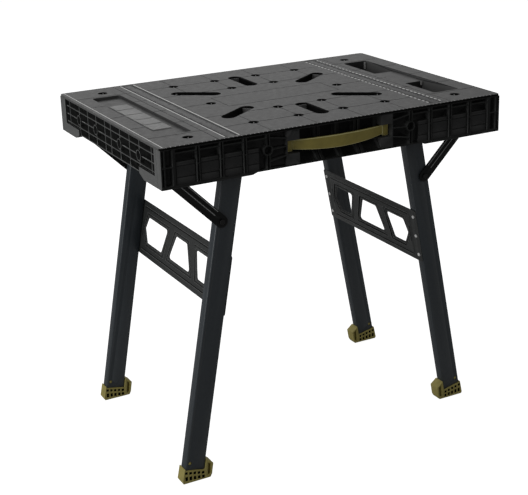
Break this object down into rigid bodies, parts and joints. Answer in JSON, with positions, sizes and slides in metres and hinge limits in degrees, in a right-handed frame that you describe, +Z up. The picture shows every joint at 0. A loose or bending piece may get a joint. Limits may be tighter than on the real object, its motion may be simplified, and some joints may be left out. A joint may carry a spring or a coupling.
{
  "type": "folding work table",
  "caption": "Portable folding work table with a slotted and perforated deck, end trays and scales, on splayed tube legs that fold under the deck.",
  "frame": {"origin": "centre of the footprint, on the floor", "axes": "+X along the table's length, +Y towards the back (the handle is at -Y), +Z up"},
  "size_m": [0.85, 0.595, 0.79],
  "materials": {
    "deck": "fine-grained moulded",
    "inlay": "smooth",
    "ruler": "grained, light beads",
    "skirt": "satin moulded",
    "end_skirt": "satin moulded",
    "olive": "moulded",
    "plate": "satin powder coat",
    "rail": "satin",
    "nylon": "smooth",
    "zinc": "zinc plated",
    "leg": "satin powder coat",
    "strut": "satin powder coat"
  },
  "bodies": {
    "top": {"deck": "deck", "tray_inlay": "inlay", "ruler_left": "ruler", "ruler_right": "ruler", "skirt_front": "skirt", "skirt_back": "skirt", "skirt_left": "end_skirt", "skirt_right": "end_skirt", "carry_handle": "olive", "left_front_rail": "rail", "left_front_strut_seat": "rail", "left_back_rail": "rail", "left_back_strut_seat": "rail", "right_front_rail": "rail", "right_front_strut_seat": "rail", "right_back_rail": "rail", "right_back_strut_seat": "rail"},
    "left_carriage": {"left_front_slide_shoe": "nylon", "left_front_pivot_pin": "zinc", "left_back_slide_shoe": "nylon", "left_back_pivot_pin": "zinc"},
    "left_legs": {"left_cross_plate": "plate", "left_front_leg": "leg", "left_front_leg_cap": "nylon", "left_front_foot": "olive", "left_front_strut_bolt": "zinc", "left_back_leg": "leg", "left_back_leg_cap": "nylon", "left_back_foot": "olive", "left_back_strut_bolt": "zinc"},
    "left_struts": {"left_front_strut": "strut", "left_back_strut": "strut"},
    "right_carriage": {"right_front_slide_shoe": "nylon", "right_front_pivot_pin": "zinc", "right_back_slide_shoe": "nylon", "right_back_pivot_pin": "zinc"},
    "right_legs": {"right_cross_plate": "plate", "right_front_leg": "leg", "right_front_leg_cap": "nylon", "right_front_foot": "olive", "right_front_strut_bolt": "zinc", "right_back_leg": "leg", "right_back_leg_cap": "nylon", "right_back_foot": "olive", "right_back_strut_bolt": "zinc"},
    "right_struts": {"right_front_strut": "strut", "right_back_strut": "strut"}
  },
  "joints": [
    {"name": "left_carriage_slide", "type": "slide", "parent": "top", "child": "left_carriage", "axis": [-1, 0, 0], "range_m": [0, 0.1286]},
    {"name": "left_leg_fold", "type": "hinge", "parent": "left_carriage", "child": "left_legs", "pos_m": [-0.23669, 0, 0.73293], "axis": [0, -1, 0], "range_deg": [0, 100.42]},
    {"name": "left_strut_fold", "type": "hinge", "parent": "left_legs", "child": "left_struts", "pos_m": [-0.275, 0, 0.5975], "axis": [0, -1, 0], "range_deg": [-54.81, 0]},
    {"name": "right_carriage_slide", "type": "slide", "parent": "top", "child": "right_carriage", "axis": [1, 0, 0], "range_m": [0, 0.1204]},
    {"name": "right_leg_fold", "type": "hinge", "parent": "right_carriage", "child": "right_legs", "pos_m": [0.23795, 0, 0.72604], "axis": [0, 1, 0], "range_deg": [0, 100.42]},
    {"name": "right_strut_fold", "type": "hinge", "parent": "right_legs", "child": "right_struts", "pos_m": [0.275, 0, 0.5975], "axis": [0, 1, 0], "range_deg": [-57.13, 0]}
  ],
  "couplings": [
    {"joint": "left_carriage_slide", "follows": "left_leg_fold", "m_per_rad": 0.073254},
    {"joint": "left_strut_fold", "follows": "left_leg_fold", "ratio": -0.54488},
    {"joint": "right_carriage_slide", "follows": "left_leg_fold", "m_per_rad": 0.068578},
    {"joint": "right_strut_fold", "follows": "left_leg_fold", "ratio": -0.56799},
    {"joint": "right_leg_fold", "follows": "left_leg_fold", "ratio": 1}
  ]
}
